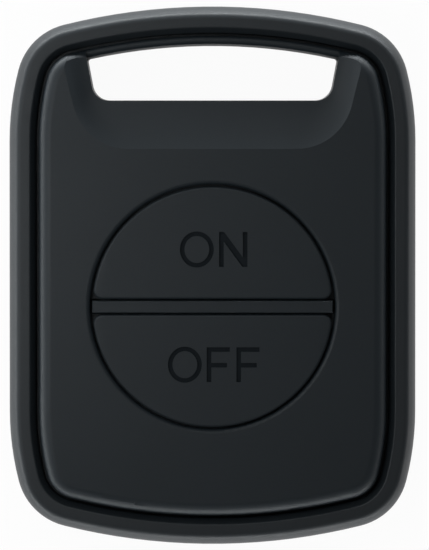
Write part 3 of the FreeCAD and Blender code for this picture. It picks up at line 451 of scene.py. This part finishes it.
def letter_f(bm, left, base, width, height, stroke, low, high):
    """A post with two arms, the lower one shorter."""
    arm_top = base + F_ARM_TO_HEIGHT * height
    reach = F_ARM_TO_WIDTH * width
    top = base + height
    plate(bm, [
        (left, base), (left + stroke, base), (left + stroke, arm_top - stroke),
        (left + reach, arm_top - stroke), (left + reach, arm_top), (left + stroke, arm_top),
        (left + stroke, top - stroke), (left + width, top - stroke), (left + width, top),
        (left, top),
    ], low, high)


def word_cutter(name, build):
    """An object made by a function that adds letters to an empty mesh."""
    bm = bmesh.new()
    build(bm)
    bmesh.ops.recalc_face_normals(bm, faces=bm.faces)
    mesh = bpy.data.meshes.new(name)
    bm.to_mesh(mesh)
    bm.free()
    cutter = bpy.data.objects.new(name, mesh)
    bpy.context.scene.collection.objects.link(cutter)
    return cutter


def merged_copy(name, node_name):
    """A copy of a part of the frame, with its facets joined and the part's finish."""
    bm = bmesh.new()
    bm.from_mesh(NODES[node_name].data)
    bmesh.ops.remove_doubles(bm, verts=bm.verts, dist=WELD_DISTANCE)
    mesh = bpy.data.meshes.new(name)
    bm.to_mesh(mesh)
    bm.free()
    mesh.materials.append(finish_named(FINISH_OF_PART[node_name]))
    piece = bpy.data.objects.new(name, mesh)
    bpy.context.scene.collection.objects.link(piece)
    return piece


def engraved_key(name, node_name, body, cutter):
    """A copy of a key with a word cut into it, in place of the plain key."""
    piece = merged_copy(name, node_name)
    cut = piece.modifiers.new("Letters", "BOOLEAN")
    cut.operation = "DIFFERENCE"
    cut.solver = "EXACT"
    cut.object = cutter
    cut.material_mode = "TRANSFER"
    settled = piece.evaluated_get(bpy.context.evaluated_depsgraph_get())
    piece.data = bpy.data.meshes.new_from_object(settled)
    piece.modifiers.clear()
    bpy.data.objects.remove(cutter)
    smooth(piece)
    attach(piece, body)
    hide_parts(node_name)
    return piece


# Stage

# Lamps over the remote: name, the setting that holds its power, width and height, and place
LAMPS = (
    ("key_lamp", "key_light", (0.04, 0.04), (-0.042, 0.006, 0.085)),
    ("high_lamp", "high_light", (0.08, 0.05), (-0.01, 0.065, 0.14)),
    ("side_lamp", "side_light", (0.25, 0.07), (-0.12, 0.03, 0.06)),
    ("end_lamp", "end_light", (0.3, 0.05), (0, -0.13, 0.11)),
)
# Low strips round the remote, which light the ring: name, share of the rim light, and place
STRIP_SIZE = (0.2, 0.014)
STRIPS = (
    ("top_strip", 1.0, (0, 0.1, 0.007)),
    ("left_strip", 0.3, (-0.09, 0, 0.007)),
    ("low_strip", 0.34, (0, -0.1, 0.007)),
)
# Slightly cool, like daylight
LAMP_COLOUR = (0.94, 0.98, 1.0)


def add_lamp(name, size, power, place, target):
    """A soft rectangular lamp that faces a point, which the camera doesn't see."""
    light = bpy.data.lights.new(name, "AREA")
    light.shape = "RECTANGLE"
    light.size, light.size_y = size
    light.energy = power
    light.color = LAMP_COLOUR
    lamp = bpy.data.objects.new(name, light)
    lamp.location = place
    lamp.rotation_euler = (Vector(target) - Vector(place)).to_track_quat("-Z", "Y").to_euler()
    lamp.visible_camera = False
    bpy.context.scene.collection.objects.link(lamp)


def seen_or_reflected(tree):
    """The light path, and 1 for camera, glossy and transmission rays and 0 for all others."""
    path = tree.nodes.new("ShaderNodeLightPath")
    first = tree.nodes.new("ShaderNodeMath")
    first.operation = "MAXIMUM"
    second = tree.nodes.new("ShaderNodeMath")
    second.operation = "MAXIMUM"
    tree.links.new(path.outputs["Is Camera Ray"], first.inputs[0])
    tree.links.new(path.outputs["Is Glossy Ray"], first.inputs[1])
    tree.links.new(first.outputs[0], second.inputs[0])
    tree.links.new(path.outputs["Is Transmission Ray"], second.inputs[1])
    return path, second.outputs[0]


FLOOR_COLOUR = (0.85, 0.85, 0.85)
FLOOR_ROUGHNESS = 0.9
FLOOR_SPECULAR = 0.2
FLOOR_GLOW = 0.95
# The floor lies this far under the flat back, so that the two faces don't meet
FLOOR_GAP = 0.05 * MM


def floor_material():
    """Pale matt floor, clear from its underside. Seen or mirrored it is nearly white, and it keeps
    a light shadow."""
    material, tree, shader = new_material("pale_floor")
    shader.inputs["Base Color"].default_value = (*FLOOR_COLOUR, 1)
    shader.inputs["Roughness"].default_value = FLOOR_ROUGHNESS
    shader.inputs["Specular IOR Level"].default_value = FLOOR_SPECULAR
    glow = tree.nodes.new("ShaderNodeEmission")
    glow.inputs["Color"].default_value = (1, 1, 1, 1)
    glow.inputs["Strength"].default_value = 1.0
    _, seen = seen_or_reflected(tree)
    share = tree.nodes.new("ShaderNodeMath")
    share.operation = "MULTIPLY"
    share.inputs[1].default_value = FLOOR_GLOW
    mix = tree.nodes.new("ShaderNodeMixShader")
    output = next(node for node in tree.nodes if node.type == "OUTPUT_MATERIAL")
    tree.links.new(seen, share.inputs[0])
    tree.links.new(share.outputs[0], mix.inputs["Fac"])
    tree.links.new(shader.outputs["BSDF"], mix.inputs[1])
    tree.links.new(glow.outputs["Emission"], mix.inputs[2])
    sides = tree.nodes.new("ShaderNodeNewGeometry")
    clear = tree.nodes.new("ShaderNodeBsdfTransparent")
    one_sided = tree.nodes.new("ShaderNodeMixShader")
    tree.links.new(sides.outputs["Backfacing"], one_sided.inputs["Fac"])
    tree.links.new(mix.outputs["Shader"], one_sided.inputs[1])
    tree.links.new(clear.outputs["BSDF"], one_sided.inputs[2])
    tree.links.new(one_sided.outputs["Shader"], output.inputs["Surface"])
    return material


# Heights of a ray, as the sine of its rise, between which the white room turns into its ceiling
CEILING_START = 0.02
CEILING_END = 0.2


def make_room(studio):
    """White all round for the camera, with a darker ceiling in reflections and an even light."""
    world = bpy.data.worlds.new("white_room")
    bpy.context.scene.world = world
    world.use_nodes = True
    tree = world.node_tree
    tree.nodes.clear()
    output = tree.nodes.new("ShaderNodeOutputWorld")
    path, seen = seen_or_reflected(tree)
    direction = tree.nodes.new("ShaderNodeTexCoord")
    axes = tree.nodes.new("ShaderNodeSeparateXYZ")
    rise = tree.nodes.new("ShaderNodeMapRange")
    rise.interpolation_type = "SMOOTHSTEP"
    rise.inputs["From Min"].default_value = CEILING_START
    rise.inputs["From Max"].default_value = CEILING_END
    rise.inputs["To Min"].default_value = 1.0
    rise.inputs["To Max"].default_value = studio.ceiling
    tree.links.new(direction.outputs["Generated"], axes.inputs["Vector"])
    tree.links.new(axes.outputs["Z"], rise.inputs["Value"])
    bright = tree.nodes.new("ShaderNodeMath")
    bright.operation = "MAXIMUM"
    tree.links.new(path.outputs["Is Camera Ray"], bright.inputs[0])
    tree.links.new(rise.outputs["Result"], bright.inputs[1])
    strength = tree.nodes.new("ShaderNodeMix")
    strength.data_type = "FLOAT"
    strength.inputs["A"].default_value = studio.room_light
    tree.links.new(seen, strength.inputs["Factor"])
    tree.links.new(bright.outputs[0], strength.inputs["B"])
    background = tree.nodes.new("ShaderNodeBackground")
    background.inputs["Color"].default_value = (1, 1, 1, 1)
    tree.links.new(strength.outputs["Result"], background.inputs["Strength"])
    tree.links.new(background.outputs["Background"], output.inputs["Surface"])


def make_floor(studio):
    """The floor under the remote's flat back."""
    bm = bmesh.new()
    bmesh.ops.create_grid(bm, x_segments=1, y_segments=1, size=studio.floor_size / 2)
    bmesh.ops.translate(bm, verts=bm.verts, vec=(0, 0, CAD_LOW.z - FLOOR_GAP))
    mesh = bpy.data.meshes.new("floor")
    bm.to_mesh(mesh)
    bm.free()
    mesh.materials.append(floor_material())
    floor = bpy.data.objects.new("floor", mesh)
    bpy.context.scene.collection.objects.link(floor)


SENSOR_WIDTH = 36
CLIP_RANGE = (0.01, 10)


def make_camera(studio):
    """A long lens nearly straight above the keys, with the slot's end at the top of the picture."""
    aim = Vector(studio.aim)
    away = Vector((math.tan(studio.lean_right), math.tan(studio.lean_up), 1))
    data = bpy.data.cameras.new("camera")
    data.sensor_width = SENSOR_WIDTH
    data.lens = data.sensor_width * studio.camera_height / studio.view_height
    data.clip_start, data.clip_end = CLIP_RANGE
    camera = bpy.data.objects.new("camera", data)
    camera.location = aim + away * studio.camera_height
    upright = Matrix.Identity(3)
    back = away.normalized()
    right = Vector((0, 1, 0)).cross(back).normalized()
    upright.col[0] = right
    upright.col[1] = back.cross(right)
    upright.col[2] = back
    camera.rotation_euler = upright.to_euler()
    bpy.context.scene.collection.objects.link(camera)
    bpy.context.scene.camera = camera


# Switch domes: the piece, the part that it stands for, and the joint that presses it flat

DOMES = (
    ("on_dome_spring", "on_switch_dome", "on_plunger_slide"),
    ("off_dome_spring", "off_switch_dome", "off_plunger_slide"),
)


# Operators

CASE_PARTS = ("outer_frame", "front_cover", "rear_cover", "battery_door", "key_guide")
REPLACED_PARTS = ("on_button", "off_button", "on_switch_dome", "off_switch_dome")


class REMOTE_OT_finish_case(bpy.types.Operator):
    """Finish the ring, the covers, the door and the bar between the keys"""

    bl_idname = "remote.finish_case"
    bl_label = "Finish Case"

    def execute(self, context):
        for name in CASE_PARTS:
            dress(name)
        return {"FINISHED"}


class REMOTE_OT_finish_inside(bpy.types.Operator):
    """Finish the screws, seal, board, switches, cell and contacts"""

    bl_idname = "remote.finish_inside"
    bl_label = "Finish Inside"

    def execute(self, context):
        for name in NODES:
            if name not in CASE_PARTS + REPLACED_PARTS:
                dress(name)
        return {"FINISHED"}


class REMOTE_OT_spring_domes(bpy.types.Operator):
    """Make copies of the switches' domes, each with a mesh of its own, in place of the frame's
    domes
    """

    bl_idname = "remote.spring_domes"
    bl_label = "Spring Domes"

    def execute(self, context):
        for name, node_name, joint in DOMES:
            piece = merged_copy(name, node_name)
            smooth(piece)
            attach(piece, "root")
            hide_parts(node_name)
            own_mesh(piece)
        return {"FINISHED"}


class REMOTE_OT_engrave_keys(bpy.types.Operator):
    """Cut the words ON and OFF into copies of the two keys"""

    bl_idname = "remote.engrave_keys"
    bl_label = "Engrave Keys"

    def execute(self, context):
        words = context.scene.remote_lettering
        cap = words.cap_height
        low = KEY_TOP - words.depth
        high = KEY_TOP + words.depth
        ink = finish_named("ink")

        def letter(bm, shape, left, base, width, *more):
            shape(bm, left, base, width, cap, words.stroke, low, high, *more)

        def round_letter(bm, left, base):
            letter_o(
                bm, left, base - O_OVERSHOOT, O_WIDTH_TO_CAP * cap, cap + 2 * O_OVERSHOOT,
                words.stroke, low, high, words.round_segments)

        def on_word(bm):
            round_letter(bm, ON_LEFT, words.on_base)
            letter(bm, letter_n, N_LEFT, words.on_base, N_WIDTH_TO_CAP * cap)

        def off_word(bm):
            round_letter(bm, OFF_LEFT, words.off_base)
            letter(bm, letter_f, FIRST_F_LEFT, words.off_base, F_WIDTH_TO_CAP * cap)
            letter(bm, letter_f, SECOND_F_LEFT, words.off_base, F_WIDTH_TO_CAP * cap)

        for name, node_name, body, build in (
            ("on_key_engraved", "on_button", "on_key", on_word),
            ("off_key_engraved", "off_button", "off_key", off_word),
        ):
            cutter = word_cutter(name + "_cutter", build)
            cutter.data.materials.append(ink)
            engraved_key(name, node_name, body, cutter)
        return {"FINISHED"}


class REMOTE_OT_build_stage(bpy.types.Operator):
    """Make the floor, the room, the lamps and the camera"""

    bl_idname = "remote.build_stage"
    bl_label = "Build Stage"

    def execute(self, context):
        studio = context.scene.remote_studio
        make_floor(studio)
        make_room(studio)
        centre = (CAD_LOW + CAD_HIGH) / 2
        for name, power, size, place in LAMPS:
            add_lamp(name, size, getattr(studio, power), place, centre)
        for name, share, place in STRIPS:
            add_lamp(name, STRIP_SIZE, studio.rim_light * share, place, centre)
        make_camera(studio)
        context.scene.view_settings.view_transform = "Standard"
        return {"FINISHED"}


class REMOTE_PT_sidebar(bpy.types.Panel):
    """Sizes, colours and steps of the remote"""

    bl_idname = "REMOTE_PT_sidebar"
    bl_label = "Alarm Remote"
    bl_space_type = "VIEW_3D"
    bl_region_type = "UI"
    bl_category = "Alarm Remote"

    def draw(self, context):
        for group in (
            context.scene.remote_lettering,
            context.scene.remote_finish,
            context.scene.remote_studio,
        ):
            box = self.layout.box()
            for name in group.bl_rna.properties.keys():
                if name not in ("rna_type", "name"):
                    box.prop(group, name)
        for operator in OPERATORS:
            self.layout.operator(operator.bl_idname)


OPERATORS = (
    REMOTE_OT_finish_case,
    REMOTE_OT_finish_inside,
    REMOTE_OT_spring_domes,
    REMOTE_OT_engrave_keys,
    REMOTE_OT_build_stage,
)
GROUPS = {
    "remote_lettering": RemoteLettering,
    "remote_finish": RemoteFinish,
    "remote_studio": RemoteStudio,
}


def register():
    for group in GROUPS.values():
        bpy.utils.register_class(group)
    for name, group in GROUPS.items():
        setattr(bpy.types.Scene, name, PointerProperty(type=group))
    for operator in OPERATORS:
        bpy.utils.register_class(operator)
    bpy.utils.register_class(REMOTE_PT_sidebar)


def unregister():
    bpy.utils.unregister_class(REMOTE_PT_sidebar)
    for operator in reversed(OPERATORS):
        bpy.utils.unregister_class(operator)
    for name, group in GROUPS.items():
        delattr(bpy.types.Scene, name)
        bpy.utils.unregister_class(group)


def main():
    register()
    bpy.ops.remote.finish_case()
    bpy.ops.remote.finish_inside()
    bpy.ops.remote.spring_domes()
    bpy.ops.remote.engrave_keys()
    bpy.ops.remote.build_stage()


if __name__ == "__main__":
    main()
